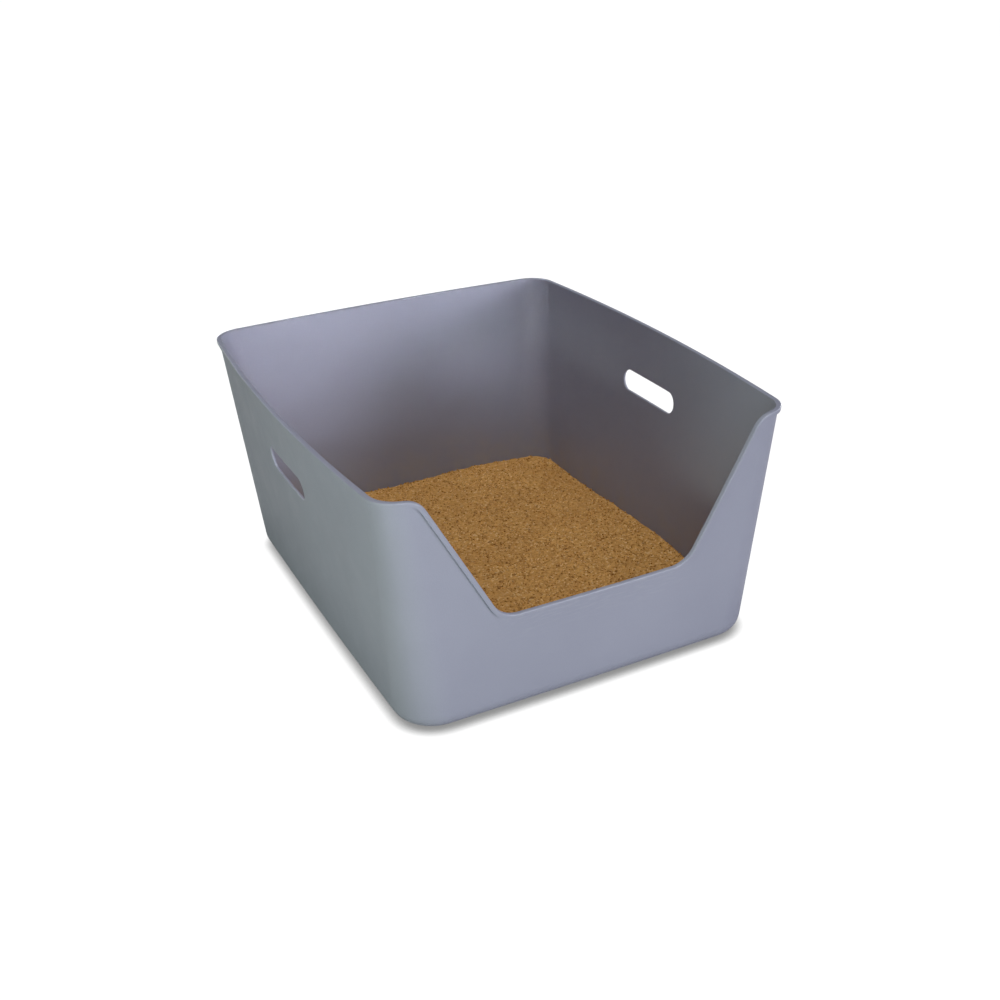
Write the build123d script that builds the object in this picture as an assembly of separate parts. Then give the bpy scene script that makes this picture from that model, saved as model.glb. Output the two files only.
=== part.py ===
from build123d import *
import os
from math import cos, exp, pi

# High-sided open litter tray with a low-cut front wall, and the loose litter that lies in it.
# The ground is the XY plane, the entry looks towards -Y and the origin is under the middle of the
# overall width and length.
# All sizes are in millimetres.

# Tray, across the bulging rim with its bead. The front bulge is cut away by the entry.
TRAY_WIDTH = 450.0
TRAY_DEPTH = 536.0
HEIGHT = 256.0
WALL = 2.6

# Outline of the wall at the rim, whose sides and ends bulge a little
RIM_SIDE_BOW = 14.0
RIM_END_BOW = 7.5
RIM_CORNER_RADIUS = 30.0

# Outline of the wall where its straight taper meets the ground
BASE_WIDTH = 391.0
BASE_DEPTH = 486.0
BASE_BOW = 1.0
BASE_CORNER_RADIUS = 45.0
BASE_EDGE_RADIUS = 19.0

# Bead that stands out along the rim and down round the entry
BEAD_PROJECTION = 2.4
BEAD_HEIGHT = 4.6
BEAD_OUTER_ROUND = 1.2
BEAD_INNER_ROUND = 0.8

# Entry through the front wall
SILL_HEIGHT = 113.0
SILL_WIDTH = 200.0
ENTRY_RIM_WIDTH = 351.0
RIM_BEND_RADIUS = 22.0
SILL_BEND_RADIUS = 28.0

# Hand slots through the two side walls
SLOT_LENGTH = 106.0
SLOT_WIDTH = 24.5
SLOT_CENTRE_HEIGHT = 185.0
SLOT_EDGE_BEVEL = 0.6

# Underside, recessed inside a foot ring, with the mark of the moulding gate in its middle
FOOT_RING_WIDTH = 12.0
RECESS_DEPTH = 1.5
RECESS_CORNER_RADIUS = 24.0
GATE_RADIUS = 4.0
GATE_HEIGHT = 0.8

# Loose litter, raked into two low heaps with ripples between them
LITTER_DEPTH = 22.0
HEAP_HEIGHT = 5.5
HEAP_SPREAD = 110.0
RIGHT_HEAP_Y = -36.0
LEFT_HEAP_Y = 110.0
LITTER_SIDE_GAP = 0.3
RIPPLE_HEIGHT = 0.8
RIPPLE_LENGTH = 150.0
LITTER_COLUMNS = 13
LITTER_ROWS = 15

# Reach of a cutting solid past the tray, and the distance at which an edge counts as lying on a face
CLEAR = 40.0
TOUCH = 0.02

FROM_BELOW = (Align.CENTER, Align.CENTER, Align.MIN)


def bowed_outline(width, depth, side_bow, end_bow, corner_radius):
    """Rounded rectangle whose sides and ends bulge; width and depth go across the bulges."""
    half_width = width / 2
    half_depth = depth / 2
    corner_x = half_width - side_bow
    corner_y = half_depth - end_bow
    edges = [
        ThreePointArc((corner_x, -corner_y), (half_width, 0), (corner_x, corner_y)),
        ThreePointArc((corner_x, corner_y), (0, half_depth), (-corner_x, corner_y)),
        ThreePointArc((-corner_x, corner_y), (-half_width, 0), (-corner_x, -corner_y)),
        ThreePointArc((-corner_x, -corner_y), (0, -half_depth), (corner_x, -corner_y)),
    ]
    outline = make_face(edges)
    return fillet(outline.vertices(), corner_radius)


def tapered_body(growth, bottom):
    """The tray's outside as a solid, moved outwards by growth and cut level at the height bottom."""
    base = bowed_outline(
        BASE_WIDTH + 2 * growth,
        BASE_DEPTH + 2 * growth,
        BASE_BOW,
        BASE_BOW,
        BASE_CORNER_RADIUS + growth,
    )
    rim = bowed_outline(
        TRAY_WIDTH - 2 * BEAD_PROJECTION + 2 * growth,
        TRAY_DEPTH - 2 * BEAD_PROJECTION + 2 * growth,
        RIM_SIDE_BOW,
        RIM_END_BOW,
        RIM_CORNER_RADIUS + growth,
    )
    body = loft([base.face(), (Pos(0, 0, HEIGHT) * rim).face()], ruled=True)
    if bottom > 0:
        body = body - slab(0, bottom)
    return body


def slab(low, high):
    """A level layer wider than the tray, from the height low to the height high."""
    layer = Box(TRAY_WIDTH + CLEAR, TRAY_DEPTH + CLEAR, high - low)
    return Pos(0, 0, (low + high) / 2) * layer


def round_bottom(body, radius):
    """Round the edge between the floor and the walls."""
    return fillet(body.edges().group_by(Axis.Z)[0], radius)


def entry_outline():
    """Front view of what is open: all above the rim, and down between the slopes to the sill."""
    side = TRAY_WIDTH / 2 + CLEAR
    top = HEIGHT + CLEAR
    corners = [
        (-side, HEIGHT),
        (-ENTRY_RIM_WIDTH / 2, HEIGHT),
        (-SILL_WIDTH / 2, SILL_HEIGHT),
        (SILL_WIDTH / 2, SILL_HEIGHT),
        (ENTRY_RIM_WIDTH / 2, HEIGHT),
        (side, HEIGHT),
        (side, top),
        (-side, top),
    ]
    outline = make_face(Polyline(*corners, close=True))
    middle = outline.vertices().filter_by_position(Axis.X, -side + 1, side - 1)
    outline = fillet(middle.group_by(Axis.Y)[0], SILL_BEND_RADIUS)
    middle = outline.vertices().filter_by_position(Axis.X, -side + 1, side - 1)
    return fillet(middle.group_by(Axis.Y)[-1], RIM_BEND_RADIUS)


def through_front(outline):
    """Push a front view through the front half of the tray."""
    return extrude(Plane.XZ * outline, amount=TRAY_DEPTH / 2 + CLEAR)


def rear_layer(low, high):
    """The rear half of a level layer."""
    half = Box(TRAY_WIDTH + CLEAR, TRAY_DEPTH / 2 + CLEAR, high - low)
    return Pos(0, (TRAY_DEPTH / 2 + CLEAR) / 2, (low + high) / 2) * half


def bead_band(opening):
    """The band of space, one bead high, that follows the rim and the entry."""
    band = through_front(offset(opening, BEAD_HEIGHT)) + rear_layer(HEIGHT - BEAD_HEIGHT, HEIGHT + CLEAR)
    return band - through_front(opening) - slab(HEIGHT, HEIGHT + 2 * CLEAR)


def touches(shape, edge):
    """True where the middle of an edge lies on a shape."""
    return shape.distance_to(Vertex(*(edge @ 0.5))) < TOUCH


def long_edges(bead, open_space, inner, on_top, on_inside):
    """The edges that run along the bead, on its top or bottom and on its inside or outside."""
    found = []
    for edge in bead.edges():
        along = edge.length > BEAD_HEIGHT + BEAD_PROJECTION
        if along and touches(open_space, edge) == on_top and touches(inner, edge) == on_inside:
            found.append(edge)
    return found


def rounded_bead(opening, inner):
    """Bead along the rim and the entry, with its two upper edges rounded."""
    bead = tapered_body(BEAD_PROJECTION, 0) & bead_band(opening)
    bead = bead - inner
    open_space = through_front(opening) + slab(HEIGHT, HEIGHT + CLEAR)
    bead = fillet(long_edges(bead, open_space, inner, True, False), BEAD_OUTER_ROUND)
    bead = fillet(long_edges(bead, open_space, inner, True, True), BEAD_INNER_ROUND)
    return bead


def base_panel(growth, low, high):
    """The flat middle of the floor inside the foot ring, as a layer."""
    inset = BASE_EDGE_RADIUS + FOOT_RING_WIDTH
    panel = RectangleRounded(
        BASE_WIDTH - 2 * inset + 2 * growth,
        BASE_DEPTH - 2 * inset + 2 * growth,
        RECESS_CORNER_RADIUS + growth,
    )
    return extrude(Pos(0, 0, low) * panel, amount=high - low)


def hand_slot(side):
    """Stadium-shaped cutter for the hole through one side wall."""
    outline = Plane.YZ * Pos(0, SLOT_CENTRE_HEIGHT) * SlotOverall(SLOT_LENGTH, SLOT_WIDTH)
    return Pos(side * TRAY_WIDTH / 4, 0, 0) * extrude(outline, amount=side * (TRAY_WIDTH / 4 + CLEAR))


def make_tray():
    """The moulded tray, in one piece."""
    outer = round_bottom(tapered_body(0, 0), BASE_EDGE_RADIUS)
    inner = round_bottom(tapered_body(-WALL, WALL), BASE_EDGE_RADIUS - WALL)
    opening = entry_outline()
    walls = outer - inner - through_front(offset(opening, BEAD_HEIGHT))
    walls = walls - rear_layer(HEIGHT - BEAD_HEIGHT, HEIGHT + CLEAR)
    walls = walls - base_panel(0, 0, RECESS_DEPTH) + base_panel(WALL, WALL, WALL + RECESS_DEPTH)
    gate = Pos(0, 0, RECESS_DEPTH - GATE_HEIGHT) * Cylinder(GATE_RADIUS, GATE_HEIGHT, align=FROM_BELOW)
    tray = walls + rounded_bead(opening, inner) + gate
    for side in (-1, 1):
        tray = tray - hand_slot(side)
    slot_edges = [edge for edge in tray.edges() if is_slot_edge(edge)]
    return chamfer(slot_edges, SLOT_EDGE_BEVEL)


def is_slot_edge(edge):
    """True for the edges round a hand slot, on either face of the wall."""
    middle = edge @ 0.5
    in_height = abs(middle.Z - SLOT_CENTRE_HEIGHT) < SLOT_WIDTH / 2 + 1
    in_length = abs(middle.Y) < SLOT_LENGTH / 2 + 1
    return in_height and in_length and edge.length > WALL * 2


def litter_height(x, y):
    """Height of the litter's surface: a low heap against each side wall, and ripples."""
    side = BASE_WIDTH / 2
    right_heap = heap(x - side, y - RIGHT_HEAP_Y)
    left_heap = heap(x + side, y - LEFT_HEAP_Y)
    ripple = RIPPLE_HEIGHT * cos(2 * pi * x / RIPPLE_LENGTH) * cos(2 * pi * y / RIPPLE_LENGTH)
    return LITTER_DEPTH + right_heap + left_heap + ripple


def heap(x, y):
    """A round heap, from its own middle."""
    return HEAP_HEIGHT * exp(-(x**2 + y**2) / HEAP_SPREAD**2)


def make_litter():
    """The loose litter, lying on the floor a hair's breadth inside the walls."""
    grid = []
    for column in range(LITTER_COLUMNS):
        x = TRAY_WIDTH * (column / (LITTER_COLUMNS - 1) - 0.5)
        line = []
        for row in range(LITTER_ROWS):
            y = TRAY_DEPTH * (row / (LITTER_ROWS - 1) - 0.5)
            line.append(Vector(x, y, litter_height(x, y)))
        grid.append(line)
    surface = Face.make_surface_from_array_of_points(grid)
    below = extrude(surface, amount=-(LITTER_DEPTH + HEAP_HEIGHT + CLEAR), dir=(0, 0, 1))
    reach = -WALL - LITTER_SIDE_GAP
    space = round_bottom(tapered_body(reach, WALL), BASE_EDGE_RADIUS + reach)
    return (space & below) - base_panel(WALL, WALL, WALL + RECESS_DEPTH)


tray = make_tray()
middle = tray.bounding_box().center()
place = Pos(-middle.X, -middle.Y, 0)
pieces = {"tray": place * tray, "litter_bed": place * make_litter()}

os.makedirs("parts", exist_ok=True)
for name, piece in pieces.items():
    export_step(piece, f"parts/{name}.step")
    print(name, "volume", round(piece.volume), "size", piece.bounding_box().size)
print("moved by", place)
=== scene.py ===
# %% [markdown]
# A litter tray in moulded plastic
#
# The object is a high-sided open tray, moulded in one piece, with loose litter on its floor. This
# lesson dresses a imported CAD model: the tray keeps its CAD shape and gets a plastic that has grain,
# wear and dust, and the plain block that stands for the litter is replaced by loose granules.

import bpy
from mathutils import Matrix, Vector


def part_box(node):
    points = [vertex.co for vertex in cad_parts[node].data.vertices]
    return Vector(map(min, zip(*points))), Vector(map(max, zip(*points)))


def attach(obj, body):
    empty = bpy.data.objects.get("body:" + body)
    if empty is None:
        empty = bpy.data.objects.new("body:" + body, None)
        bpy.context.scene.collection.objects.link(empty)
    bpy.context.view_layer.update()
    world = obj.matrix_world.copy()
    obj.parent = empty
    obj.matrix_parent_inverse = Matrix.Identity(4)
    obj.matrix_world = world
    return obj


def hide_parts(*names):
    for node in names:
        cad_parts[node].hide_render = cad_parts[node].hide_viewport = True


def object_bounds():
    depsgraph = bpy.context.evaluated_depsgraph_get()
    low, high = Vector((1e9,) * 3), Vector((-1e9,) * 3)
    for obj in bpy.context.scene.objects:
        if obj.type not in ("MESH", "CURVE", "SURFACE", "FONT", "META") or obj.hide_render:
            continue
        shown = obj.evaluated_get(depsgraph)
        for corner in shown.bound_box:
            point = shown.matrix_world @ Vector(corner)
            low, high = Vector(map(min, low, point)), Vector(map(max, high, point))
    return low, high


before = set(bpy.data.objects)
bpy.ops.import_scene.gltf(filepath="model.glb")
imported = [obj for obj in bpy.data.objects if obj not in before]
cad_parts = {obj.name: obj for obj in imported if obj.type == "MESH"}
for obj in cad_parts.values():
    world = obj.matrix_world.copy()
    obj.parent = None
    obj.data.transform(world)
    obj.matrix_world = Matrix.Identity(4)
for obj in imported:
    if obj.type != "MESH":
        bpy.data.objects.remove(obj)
cad_low, cad_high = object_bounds()
print("CAD box", [round(v, 4) for v in cad_low], [round(v, 4) for v in cad_high])

# %% [markdown]
# The tools
#
# Every material here is a small tree of nodes. Written out in full such a tree is long and hard to
# read, so a few short helpers do the repeated work. The first three start a material, make noise of a
# given size, and stretch a value to a new range. All patterns read Object coordinates, in metres. A
# CAD node sits at the origin, so a noise scale of 500 means a pattern that changes every two
# millimetres.

# %% Helpers for patterns
import math

import bpy
from mathutils import Matrix, Vector


def new_material(name):
    """An empty node material with its output, its shader and its object coordinates."""
    material = bpy.data.materials.new(name)
    material.use_nodes = True
    tree = material.node_tree
    tree.nodes.clear()
    output = tree.nodes.new("ShaderNodeOutputMaterial")
    shader = tree.nodes.new("ShaderNodeBsdfPrincipled")
    tree.links.new(shader.outputs["BSDF"], output.inputs["Surface"])
    coordinates = tree.nodes.new("ShaderNodeTexCoord")
    return material, tree, shader, coordinates.outputs["Object"]


def noise(tree, place, scale, detail=3.0, roughness=0.55):
    """Noise from 0 to 1 that changes every 1 / scale metres."""
    node = tree.nodes.new("ShaderNodeTexNoise")
    node.inputs["Scale"].default_value = scale
    node.inputs["Detail"].default_value = detail
    node.inputs["Roughness"].default_value = roughness
    tree.links.new(place, node.inputs["Vector"])
    return node.outputs["Fac"]


def remap(tree, value, low, high, new_low, new_high):
    """Stretch a value from one range to another and clamp it there."""
    node = tree.nodes.new("ShaderNodeMapRange")
    node.inputs["From Min"].default_value = low
    node.inputs["From Max"].default_value = high
    node.inputs["To Min"].default_value = new_low
    node.inputs["To Max"].default_value = new_high
    tree.links.new(value, node.inputs["Value"])
    return node.outputs["Result"]


print("pattern helpers ready")

# %% [markdown]
# Colours, sums and bumps
#
# A real surface is several layers that cover each other in part. A layer's colour is blended in by a
# mask, masks are multiplied so that each can hold the others back, and relief too fine for the mesh
# is left to a bump, which only tilts the shading.

# %% Helpers for layers
def mix_colour(tree, factor, first, second):
    """Blend two colours; each is a tuple or a socket."""
    node = tree.nodes.new("ShaderNodeMix")
    node.data_type = "RGBA"
    tree.links.new(factor, node.inputs["Factor"])
    for name, colour in (("A", first), ("B", second)):
        socket = next(s for s in node.inputs if s.name == name and s.type == "RGBA")
        if isinstance(colour, tuple):
            socket.default_value = (*colour, 1.0)
        else:
            tree.links.new(colour, socket)
    return next(s for s in node.outputs if s.type == "RGBA")


def calculate(tree, operation, first, second):
    """One sum or product of two sockets or numbers."""
    node = tree.nodes.new("ShaderNodeMath")
    node.operation = operation
    for socket, value in zip(node.inputs, (first, second)):
        if isinstance(value, (int, float)):
            socket.default_value = value
        else:
            tree.links.new(value, socket)
    return node.outputs["Value"]


def product(tree, *values):
    """Several sockets or numbers multiplied together."""
    result = values[0]
    for value in values[1:]:
        result = calculate(tree, "MULTIPLY", result, value)
    return result


def add_bump(tree, shader, height, distance, strength=1.0, under=None):
    """Bump the surface by a pattern times a distance in metres, over another bump if there is one."""
    node = tree.nodes.new("ShaderNodeBump")
    node.inputs["Strength"].default_value = strength
    node.inputs["Distance"].default_value = distance
    tree.links.new(height, node.inputs["Height"])
    if under is not None:
        tree.links.new(under, node.inputs["Normal"])
    tree.links.new(node.outputs["Normal"], shader.inputs["Normal"])
    return node.outputs["Normal"]


print("layer helpers ready")

# %% [markdown]
# Where the tray is worn
#
# A litter tray wears in two places. Paws rub the low front wall just under the sill, and the litter
# leaves pale dust on the inside, thick near the bed and thinner above. Wear belongs to a place on the
# object, so each of these is a mask from the coordinates, broken up by noise. For the dust, the
# surface normal tells the inside of the wall from the outside, because both are one mesh.

# %% Masks for wear
SILL_HEIGHT = 0.113
SCUFF_DEPTH = 0.035
SCUFF_HALF_WIDTH = 0.080
SCUFF_END = 0.115
FRONT_FULL = 0.020
FRONT_GONE = 0.035
SCUFF_SCALE = 70.0
SCUFF_STRETCH = (1.0, 1.0, 7.0)
SCUFF_STRENGTH = 0.40
DUST_START = 0.004
DUST_HEIGHT = 0.055
DUST_PATCHES = 38.0
DUST_STRENGTH = 0.35

litter_low, litter_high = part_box("litter_bed")
litter_top = litter_high.z


def stretched(tree, place, factors):
    """Coordinates that run faster along one axis, so that a pattern is drawn out along the others."""
    node = tree.nodes.new("ShaderNodeVectorMath")
    node.operation = "MULTIPLY"
    node.inputs[1].default_value = factors
    tree.links.new(place, node.inputs[0])
    return node.outputs["Vector"]


def facing_inwards(tree, place):
    """1 on the faces that look towards the upright axis of the tray, 0 on those that look away."""
    geometry = tree.nodes.new("ShaderNodeNewGeometry")
    outward = tree.nodes.new("ShaderNodeVectorMath")
    outward.operation = "DOT_PRODUCT"
    tree.links.new(geometry.outputs["Normal"], outward.inputs[0])
    tree.links.new(place, outward.inputs[1])
    return calculate(tree, "LESS_THAN", outward.outputs["Value"], 0.0)


def sill_scuffs(tree, place, axes):
    """Faint level strokes under the sill, that fade out towards the ends of the entry."""
    across = calculate(tree, "ABSOLUTE", axes["X"], 0.0)
    at_front = remap(tree, axes["Y"], cad_low.y + FRONT_FULL, cad_low.y + FRONT_GONE, 1.0, 0.0)
    near_sill = remap(tree, axes["Z"], SILL_HEIGHT - SCUFF_DEPTH, SILL_HEIGHT, 0.0, 1.0)
    in_entry = remap(tree, across, SCUFF_HALF_WIDTH, SCUFF_END, 1.0, 0.0)
    strokes = noise(tree, stretched(tree, place, SCUFF_STRETCH), SCUFF_SCALE, detail=6.0)
    broken = remap(tree, strokes, 0.48, 0.72, 0.0, SCUFF_STRENGTH)
    return product(tree, at_front, near_sill, in_entry, broken)


def litter_dust(tree, place, axes):
    """Dust in patches on the inside of the walls, fading out above the litter."""
    lowest = litter_top - DUST_START
    near_litter = remap(tree, axes["Z"], lowest, litter_top + DUST_HEIGHT, 1.0, 0.0)
    patches = remap(tree, noise(tree, place, DUST_PATCHES, detail=6.0), 0.42, 0.68, 0.0, 1.0)
    return product(tree, near_litter, patches, DUST_STRENGTH, facing_inwards(tree, place))


print("litter top at", round(litter_top, 4))

# %% [markdown]
# The plastic
#
# The tray is grey polypropylene with a satin finish: light spreads wide on it, without a mirror
# image. Its mould was spark-eroded, so the skin has a fine grain of a millimetre and less, and
# shrinkage leaves the large walls very slightly uneven. Two greys are blended by a broad and a fine
# noise, the wear lies over them, and the mask of the dust also makes the dusty places rougher. Each
# is a layer of its own, because one flat colour would look like paint.

# %% Grey plastic
PLASTIC_GREY = (0.312, 0.324, 0.404)
PLASTIC_DEEP = (0.272, 0.283, 0.358)
PLASTIC_RUBBED = (0.400, 0.412, 0.470)
DUST = (0.42, 0.36, 0.27)
PLASTIC_GRAIN = 900.0
PLASTIC_MOTTLE = 6.0
PLASTIC_SWELL = 14.0
PLASTIC_IOR = 1.49
SPECKLE_SHARE = 0.25
POLISH_PATCHES = 22.0
POLISHED = 0.36
WORN_DULL = 0.50
DUST_ROUGHNESS = 0.6
SWELL_HEIGHT = 0.0006
GRAIN_HEIGHT = 0.00020


def plastic_shade(tree, place):
    """How light the grey is, from 0 to 1: a broad mottle with a little fine speckle."""
    mottle = noise(tree, place, PLASTIC_MOTTLE, detail=3.0)
    speckle = noise(tree, place, PLASTIC_GRAIN, detail=1.0)
    broad = product(tree, mottle, 1.0 - SPECKLE_SHARE)
    shade = calculate(tree, "ADD", broad, product(tree, speckle, SPECKLE_SHARE))
    return remap(tree, shade, 0.25, 0.75, 0.0, 1.0)


def grey_plastic():
    """Satin moulded polypropylene with grain, soft unevenness, scuffs and litter dust."""
    material, tree, shader, place = new_material("grey_plastic")
    split = tree.nodes.new("ShaderNodeSeparateXYZ")
    tree.links.new(place, split.inputs["Vector"])
    axes = split.outputs
    dust = litter_dust(tree, place, axes)
    grey = mix_colour(tree, plastic_shade(tree, place), PLASTIC_DEEP, PLASTIC_GREY)
    grey = mix_colour(tree, sill_scuffs(tree, place, axes), grey, PLASTIC_RUBBED)
    tree.links.new(mix_colour(tree, dust, grey, DUST), shader.inputs["Base Color"])

    rubbed = noise(tree, place, POLISH_PATCHES, detail=5.0)
    polish = remap(tree, rubbed, 0.35, 0.7, POLISHED, WORN_DULL)
    roughness = calculate(tree, "ADD", polish, product(tree, dust, DUST_ROUGHNESS))
    tree.links.new(roughness, shader.inputs["Roughness"])
    shader.inputs["IOR"].default_value = PLASTIC_IOR
    shader.inputs["Specular IOR Level"].default_value = 0.42

    wave = noise(tree, place, PLASTIC_SWELL, detail=1.0)
    swell = add_bump(tree, shader, wave, SWELL_HEIGHT, strength=0.35)
    grain = noise(tree, place, PLASTIC_GRAIN, detail=3.0)
    add_bump(tree, shader, grain, GRAIN_HEIGHT, strength=0.45, under=swell)
    return material


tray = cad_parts["tray"]
tray_plastic = grey_plastic()
tray.data.materials.clear()
tray.data.materials.append(tray_plastic)
print("tray slots", len(tray.data.materials), "faces", len(tray.data.polygons))

# %% [markdown]
# Tools for making pieces
#
# An operator of Blender acts on whatever is selected, and the loaded CAD nodes are selected. So each
# step starts by selecting one piece alone. The litter starts as a copy of its CAD block, whose loose
# triangles are joined where their corners meet.

# %% Select and copy
MERGE_DISTANCE = 0.00001


def deselect_all():
    """Leave nothing selected, because an operator acts on everything that is."""
    if bpy.context.mode != "OBJECT":
        bpy.ops.object.mode_set(mode="OBJECT")
    bpy.ops.object.select_all(action="DESELECT")


def pick(piece):
    """Select one piece alone and make it active."""
    deselect_all()
    piece.hide_set(False)
    piece.select_set(True)
    bpy.context.view_layer.objects.active = piece


def copy_of_node(node, name):
    """A copy of a CAD node with its own merged mesh, free of the frame."""
    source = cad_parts[node]
    piece = bpy.data.objects.new(name, source.data.copy())
    bpy.context.scene.collection.objects.link(piece)
    pick(piece)
    bpy.ops.object.mode_set(mode="EDIT")
    bpy.ops.mesh.select_all(action="SELECT")
    bpy.ops.mesh.remove_doubles(threshold=MERGE_DISTANCE)
    bpy.ops.object.mode_set(mode="OBJECT")
    return piece


print("piece helpers ready")

# %% [markdown]
# The bed of litter
#
# Litter is thousands of small plant granules. Modelling every one down to the floor would cost
# millions of faces, and only the top layer shows. So the bed is a single skin with a grainy relief,
# and loose granules lie on it. The skin starts as a copy of the CAD block, which already has the
# right outline and heaps: it is remeshed into even squares, and three Displace modifiers raise
# lumps, crumbs and grains on it. Each has the size of its features and the depth of its relief.

# %% Skin of the litter bed
VOXEL = 0.0024
RELIEF = {"lumps": (0.045, 0.0034), "crumbs": (0.010, 0.0022), "grains": (0.0032, 0.0012)}


def displace(piece, name, size, depth):
    """Raise and lower the vertices of a piece by a cloud texture whose features have this size."""
    texture = bpy.data.textures.new(name, "CLOUDS")
    texture.noise_scale = size
    texture.noise_depth = 2
    modifier = piece.modifiers.new(name, "DISPLACE")
    modifier.texture = texture
    modifier.texture_coords = "LOCAL"
    modifier.direction = "Z"
    modifier.strength = depth
    modifier.mid_level = 0.5
    pick(piece)
    bpy.ops.object.modifier_apply(modifier=name)


litter_skin = copy_of_node("litter_bed", "litter_skin")
remesh = litter_skin.modifiers.new("even", "REMESH")
remesh.mode = "VOXEL"
remesh.voxel_size = VOXEL
pick(litter_skin)
bpy.ops.object.modifier_apply(modifier="even")
for relief, (feature, depth) in RELIEF.items():
    displace(litter_skin, relief, feature, depth)
bpy.ops.object.shade_smooth()
print("litter skin faces", len(litter_skin.data.polygons))

# %% [markdown]
# One granule
#
# One granule is an icosphere with twenty faces, which is all that a grain three millimetres across
# needs. It is stretched, because a real one is a splinter or a crumb and never a ball, and its
# corners are moved a little at random.

# %% Model one granule
GRAIN_SIZE = 0.0031
GRAIN_STRETCH = (1.35, 0.9, 0.75)
GRAIN_ROUGHNESS = 0.10
GRAIN_SEED = 3


def seed_granule():
    """One small rough granule, a bit longer than it is wide."""
    deselect_all()
    bpy.ops.mesh.primitive_ico_sphere_add(subdivisions=1, radius=GRAIN_SIZE / 2, location=(0, 0, 0))
    granule = bpy.context.object
    granule.name = "seed_granule"
    bpy.ops.object.mode_set(mode="EDIT")
    bpy.ops.mesh.select_all(action="SELECT")
    bpy.ops.transform.resize(value=GRAIN_STRETCH)
    bpy.ops.transform.vertex_random(offset=GRAIN_SIZE * GRAIN_ROUGHNESS, seed=GRAIN_SEED)
    bpy.ops.object.mode_set(mode="OBJECT")
    return granule


granule = seed_granule()
print("granule faces", len(granule.data.polygons))

# %% [markdown]
# Loose granules
#
# Thousands of copies are laid by a short geometry node tree: points are strewn over the top of the
# skin, a granule is put on each with its own size and turn, and the copies are made real so that the
# piece is an ordinary mesh. The seed is fixed, so every run gives the same litter.

# %% Strew the granules
GRAIN_COUNT = 9000
SMALLEST_GRAIN = 0.40
LARGEST_GRAIN = 1.15
LEAST_UPWARD = 0.4
STREW_SEED = 11


def strew(tree, granule, density, seed):
    """Fill a geometry node tree that lays copies of a granule on upward faces."""
    tree.interface.new_socket("Geometry", in_out="INPUT", socket_type="NodeSocketGeometry")
    tree.interface.new_socket("Geometry", in_out="OUTPUT", socket_type="NodeSocketGeometry")
    start = tree.nodes.new("NodeGroupInput")
    end = tree.nodes.new("NodeGroupOutput")

    # Only faces that look upwards take granules.
    normal = tree.nodes.new("GeometryNodeInputNormal")
    parts = tree.nodes.new("ShaderNodeSeparateXYZ")
    tree.links.new(normal.outputs["Normal"], parts.inputs["Vector"])
    upward = tree.nodes.new("FunctionNodeCompare")
    upward.operation = "GREATER_THAN"
    upward.inputs["B"].default_value = LEAST_UPWARD
    tree.links.new(parts.outputs["Z"], upward.inputs["A"])

    points = tree.nodes.new("GeometryNodeDistributePointsOnFaces")
    points.inputs["Density"].default_value = density
    points.inputs["Seed"].default_value = seed
    tree.links.new(start.outputs["Geometry"], points.inputs["Mesh"])
    tree.links.new(upward.outputs["Result"], points.inputs["Selection"])

    # Each granule has its own turn and its own size.
    shape = tree.nodes.new("GeometryNodeObjectInfo")
    shape.inputs["Object"].default_value = granule
    turn = tree.nodes.new("FunctionNodeRandomValue")
    turn.data_type = "FLOAT_VECTOR"
    turn.inputs[0].default_value = (0.0, 0.0, 0.0)
    turn.inputs[1].default_value = (math.tau, math.tau, math.tau)
    size = tree.nodes.new("FunctionNodeRandomValue")
    size.data_type = "FLOAT"
    size.inputs[2].default_value = SMALLEST_GRAIN
    size.inputs[3].default_value = LARGEST_GRAIN

    copies = tree.nodes.new("GeometryNodeInstanceOnPoints")
    tree.links.new(points.outputs["Points"], copies.inputs["Points"])
    tree.links.new(shape.outputs["Geometry"], copies.inputs["Instance"])
    tree.links.new(turn.outputs[0], copies.inputs["Rotation"])
    tree.links.new(size.outputs[1], copies.inputs["Scale"])
    real = tree.nodes.new("GeometryNodeRealizeInstances")
    tree.links.new(copies.outputs["Instances"], real.inputs["Geometry"])
    tree.links.new(real.outputs["Geometry"], end.inputs["Geometry"])


bed_size = litter_high - litter_low
litter_grains = litter_skin.copy()
litter_grains.data = litter_skin.data.copy()
litter_grains.name = "litter_grains"
bpy.context.scene.collection.objects.link(litter_grains)
scatter = bpy.data.node_groups.new("strew_granules", "GeometryNodeTree")
strew(scatter, granule, GRAIN_COUNT / (bed_size.x * bed_size.y), seed=STREW_SEED)
layer = litter_grains.modifiers.new("strew", "NODES")
layer.node_group = scatter
pick(litter_grains)
bpy.ops.object.modifier_apply(modifier="strew")
bpy.data.objects.remove(granule)
print("faces of all granules", len(litter_grains.data.polygons))

# %% [markdown]
# The colour of litter
#
# The granules are golden brown, some darker and some almost straw coloured, and their skin is dull
# and powdery, with a burnt one here and there. A Voronoi texture gives each cell of two to three
# millimetres its own colour, so the skin shows separate grains, and broad noise darkens it where it
# is a little damp or deep.

# %% Golden litter
LITTER_BROWN = (0.385, 0.190, 0.052)
LITTER_GOLD = (0.600, 0.325, 0.094)
LITTER_STRAW = (0.780, 0.540, 0.265)
LITTER_DARK = (0.070, 0.036, 0.014)
SKIN_CELLS = 520.0
GRAIN_CELLS = 380.0
STRAW_STRENGTH = 0.55
BURNT_STRENGTH = 0.5
DAMP_PATCHES = 16.0
DAMP_STRENGTH = 0.28
POWDER_SCALE = 1400.0


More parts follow.
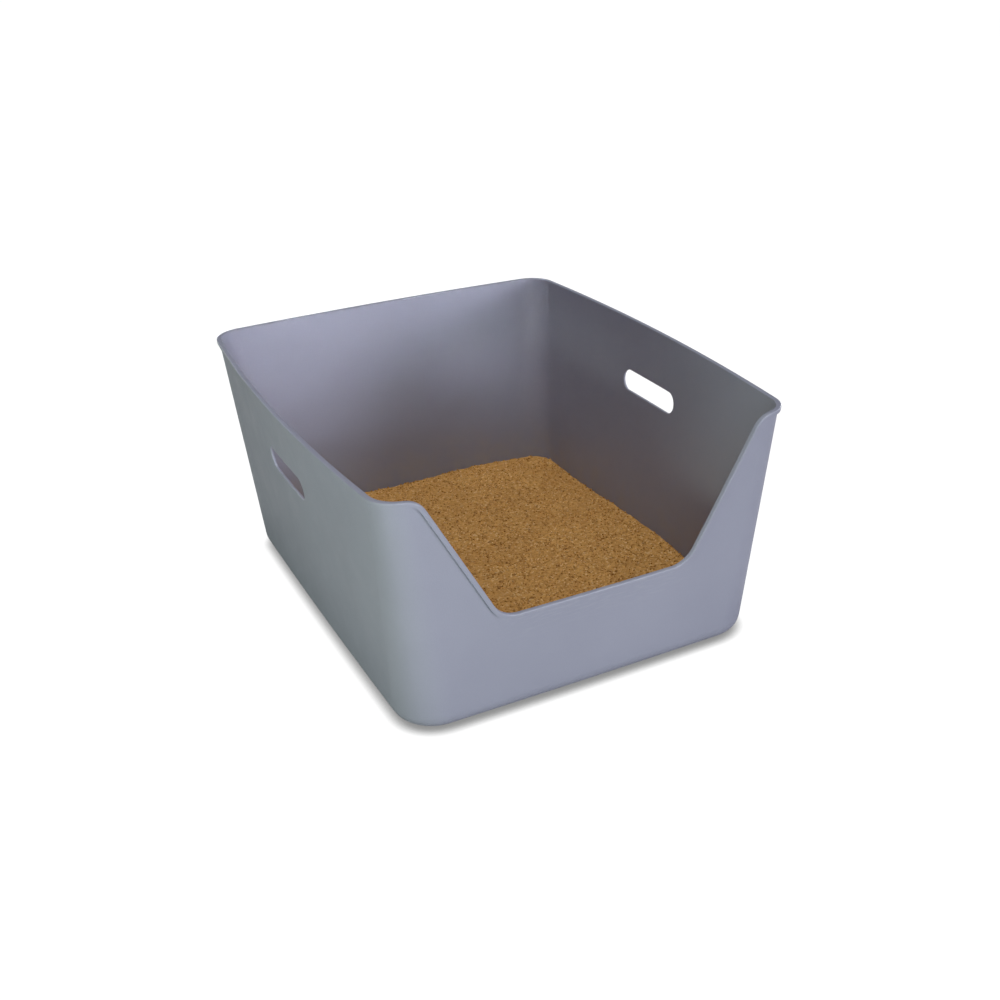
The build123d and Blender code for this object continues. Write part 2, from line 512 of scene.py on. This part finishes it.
def golden_litter(name, cell_scale):
    """Powdery granules, each cell with its own tint."""
    material, tree, shader, place = new_material(name)
    cells = tree.nodes.new("ShaderNodeTexVoronoi")
    cells.inputs["Scale"].default_value = cell_scale
    tree.links.new(place, cells.inputs["Vector"])
    tint = tree.nodes.new("ShaderNodeSeparateColor")
    tree.links.new(cells.outputs["Color"], tint.inputs["Color"])
    base = mix_colour(tree, tint.outputs["Red"], LITTER_BROWN, LITTER_GOLD)
    pale = remap(tree, tint.outputs["Green"], 0.84, 0.97, 0.0, STRAW_STRENGTH)
    base = mix_colour(tree, pale, base, LITTER_STRAW)
    burnt = remap(tree, tint.outputs["Blue"], 0.985, 0.995, 0.0, BURNT_STRENGTH)
    base = mix_colour(tree, burnt, base, LITTER_DARK)
    broad = noise(tree, place, DAMP_PATCHES, detail=4.0)
    damp = remap(tree, broad, 0.40, 0.62, DAMP_STRENGTH, 0.0)
    base = mix_colour(tree, damp, base, LITTER_BROWN)
    tree.links.new(base, shader.inputs["Base Color"])
    dull = remap(tree, tint.outputs["Blue"], 0.0, 1.0, 0.78, 0.95)
    tree.links.new(dull, shader.inputs["Roughness"])
    shader.inputs["Specular IOR Level"].default_value = 0.25
    ground = add_bump(tree, shader, cells.outputs["Distance"], -0.0008, strength=0.65)
    powder = noise(tree, place, POWDER_SCALE, detail=2.0)
    add_bump(tree, shader, powder, 0.0003, strength=0.6, under=ground)
    return material


skin_litter = golden_litter("golden_litter_skin", SKIN_CELLS)
grain_litter = golden_litter("golden_litter_grains", GRAIN_CELLS)
for piece, material in ((litter_skin, skin_litter), (litter_grains, grain_litter)):
    piece.data.materials.clear()
    piece.data.materials.append(material)
    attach(piece, "root")
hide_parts("litter_bed")
print("litter pieces", litter_skin.name, litter_grains.name)

# %% [markdown]
# The stage
#
# The photograph shows the tray on plain white, with a thin soft shadow along its foot. A floor lit
# hard enough to burn out would also burn the tray. So the floor is mid grey to all light that
# bounces, and only a ray that comes straight from the camera sees it as nearly white. An Ambient
# Occlusion node finds where the tray is close and darkens the white there, and a tenth of the grey
# floor shows through with the lamps' own soft shadows.

# %% White floor
FLOOR_SIZE = 60.0
FLOOR_WHITE = 0.90
FLOOR_GLOW = 1.14
FLOOR_GREY = 0.42
CONTACT_REACH = 0.014
CONTACT_DARK = 0.30
CONTACT_CLOSED = 0.30
CONTACT_OPEN = 0.86
CONTACT_SAMPLES = 8


def seen_by_camera(tree):
    """1 where a ray comes straight from the camera, 0 for light that bounces."""
    return tree.nodes.new("ShaderNodeLightPath").outputs["Is Camera Ray"]


def make_floor():
    """A white floor with a painted soft shadow along the foot of the object, over a little of the lamps'
    own shadows.
    """
    deselect_all()
    bpy.ops.mesh.primitive_plane_add(size=FLOOR_SIZE, location=(0, 0, cad_low.z))
    floor = bpy.context.object
    floor.name = "floor"
    material, tree, shader, _ = new_material("pale_floor")
    shader.inputs["Base Color"].default_value = (FLOOR_GREY, FLOOR_GREY, FLOOR_GREY, 1.0)
    shader.inputs["Roughness"].default_value = 0.9
    contact = tree.nodes.new("ShaderNodeAmbientOcclusion")
    contact.inputs["Distance"].default_value = CONTACT_REACH
    contact.samples = CONTACT_SAMPLES
    glow = tree.nodes.new("ShaderNodeEmission")
    glow.inputs["Color"].default_value = (1.0, 1.0, 1.0, 1.0)
    # The glow is dimmed where the tray is close: this is a painted contact shadow.
    white = remap(tree, contact.outputs["AO"], CONTACT_CLOSED, CONTACT_OPEN, CONTACT_DARK, FLOOR_GLOW)
    tree.links.new(white, glow.inputs["Strength"])
    blend = tree.nodes.new("ShaderNodeMixShader")
    output = next(n for n in tree.nodes if n.type == "OUTPUT_MATERIAL")
    tree.links.new(product(tree, seen_by_camera(tree), FLOOR_WHITE), blend.inputs["Fac"])
    tree.links.new(shader.outputs["BSDF"], blend.inputs[1])
    tree.links.new(glow.outputs["Emission"], blend.inputs[2])
    tree.links.new(blend.outputs["Shader"], output.inputs["Surface"])
    floor.data.materials.append(material)
    return floor


floor = make_floor()
print("floor", [round(v, 1) for v in floor.dimensions])

# %% [markdown]
# The sky
#
# The world is made in the same two layers as the floor: white where the camera looks past the floor,
# and a weak, slightly blue light from all round for everything else, which keeps the shadows soft.

# %% White sky
SKY_STRENGTH = 0.03


def make_sky():
    """A white background for the camera, and a weak even light for the object."""
    world = bpy.data.worlds.new("pale_sky")
    world.use_nodes = True
    tree = world.node_tree
    tree.nodes.clear()
    output = tree.nodes.new("ShaderNodeOutputWorld")
    white = tree.nodes.new("ShaderNodeBackground")
    white.inputs["Color"].default_value = (1.0, 1.0, 1.0, 1.0)
    soft = tree.nodes.new("ShaderNodeBackground")
    soft.inputs["Color"].default_value = (0.93, 0.97, 1.0, 1.0)
    soft.inputs["Strength"].default_value = SKY_STRENGTH
    blend = tree.nodes.new("ShaderNodeMixShader")
    tree.links.new(seen_by_camera(tree), blend.inputs["Fac"])
    tree.links.new(soft.outputs["Background"], blend.inputs[1])
    tree.links.new(white.outputs["Background"], blend.inputs[2])
    tree.links.new(blend.outputs["Shader"], output.inputs["Surface"])
    bpy.context.scene.world = world


make_sky()
print("world", bpy.context.scene.world.name)

# %% [markdown]
# The lamps
#
# The front wall is the brightest face in the photograph, the left wall is a little darker and
# greener, and the inside falls off below the rim. So the main light is a large soft lamp far in
# front and to the right, where it does not reach the inside of the right wall. Two small lamps in
# front lift the bead, one above lights the litter, and low ones at the sides and behind light the
# outer walls from below the height of the rim, so that little of them gets inside. A narrow strip
# gives the pale streak under the rear rim. Area lamps are used because their edges are soft.

# %% Soft lamps
def soft_lamp(name, place, target, size, power, colour):
    """A rectangular area lamp, of a width and a height, at a place and turned to a target."""
    deselect_all()
    bpy.ops.object.light_add(type="AREA", location=place)
    lamp = bpy.context.object
    lamp.name = name
    lamp.data.shape = "RECTANGLE"
    lamp.data.size, lamp.data.size_y = size
    lamp.data.energy = power
    lamp.data.color = colour
    lamp.rotation_euler = (Vector(target) - Vector(place)).to_track_quat("-Z", "Y").to_euler()
    return lamp


STRIP_SPREAD = math.radians(10)

middle = (cad_low + cad_high) / 2
rear_rim = Vector((-0.03, cad_high.y, cad_high.z - 0.010))
soft_lamp("far_front_lamp", (1.90, -4.10, 0.60), middle, (1.6, 1.0), 112.0, (0.93, 0.93, 1.0))
soft_lamp("near_front_lamp", (-0.70, -1.30, 0.35), middle, (0.5, 0.5), 2.8, (0.96, 0.98, 1.0))
soft_lamp("high_front_lamp", (0.50, -1.60, 1.75), middle, (0.4, 0.4), 5.0, (1.0, 1.0, 1.0))
soft_lamp("left_lamp", (-1.60, -0.70, 0.13), middle, (1.2, 0.22), 13.0, (0.88, 1.0, 0.80))
soft_lamp("right_lamp", (2.80, 0.70, 0.14), middle, (1.6, 0.24), 34.0, (1.0, 1.0, 1.0))
soft_lamp("back_lamp", (0.0, 2.90, 0.14), middle, (1.6, 0.24), 36.0, (1.0, 1.0, 1.0))
soft_lamp("top_lamp", (0.0, -0.05, 2.80), middle, (0.5, 0.5), 38.0, (1.0, 1.0, 1.0))
strip = soft_lamp("rear_rim_lamp", (-0.45, -1.80, 0.76), rear_rim, (0.50, 0.08), 0.13, (0.82, 0.89, 1.0))
strip.data.spread = STRIP_SPREAD

# %% [markdown]
# The camera
#
# The photograph was taken from the left of the entry and from above. The angles, the distance and
# the lens below were found by fitting the outline of the tray, and they are kept as a photographer
# would write them: a turn round the object, a tilt, a roll and a distance to the point aimed at.

# %% Camera at the photograph's angle
IMAGE_SIZE = 1000
SENSOR_WIDTH = 36.0
FOCAL_PIXELS = 1269.95
TURN = math.radians(27.529)
TILT = math.radians(27.147)
ROLL = math.radians(-1.482)
DISTANCE = 1.4036
AIM = Vector((0.0, -0.00277, 0.1032))
AIM_PIXEL = (483.66, 497.26)
CENTRE_PIXEL = (555.0, 518.0)


def photo_camera():
    """The camera that sees the aim point at its own pixel."""
    deselect_all()
    bpy.ops.object.camera_add(location=(0, 0, 0))
    camera = bpy.context.object
    camera.name = "photo_camera"
    forward = Vector((math.sin(TURN) * math.cos(TILT), math.cos(TURN) * math.cos(TILT), -math.sin(TILT)))
    level = Vector((math.cos(TURN), -math.sin(TURN), 0.0))
    upright = level.cross(forward)
    right = math.cos(ROLL) * level + math.sin(ROLL) * upright
    up = math.cos(ROLL) * upright - math.sin(ROLL) * level
    across = (AIM_PIXEL[0] - CENTRE_PIXEL[0]) / FOCAL_PIXELS
    down = (AIM_PIXEL[1] - CENTRE_PIXEL[1]) / FOCAL_PIXELS
    eye = AIM - DISTANCE * (forward + across * right - down * up)
    turned = Matrix((right, up, -forward)).transposed().to_4x4()
    camera.matrix_world = Matrix.Translation(eye) @ turned
    camera.data.sensor_width = SENSOR_WIDTH
    camera.data.lens = SENSOR_WIDTH * FOCAL_PIXELS / IMAGE_SIZE
    camera.data.shift_x = (IMAGE_SIZE / 2 - CENTRE_PIXEL[0]) / IMAGE_SIZE
    camera.data.shift_y = (CENTRE_PIXEL[1] - IMAGE_SIZE / 2) / IMAGE_SIZE
    return camera


bpy.context.scene.camera = photo_camera()
bpy.context.scene.view_settings.view_transform = "Standard"
print("camera at", [round(v, 3) for v in bpy.context.scene.camera.matrix_world.translation])
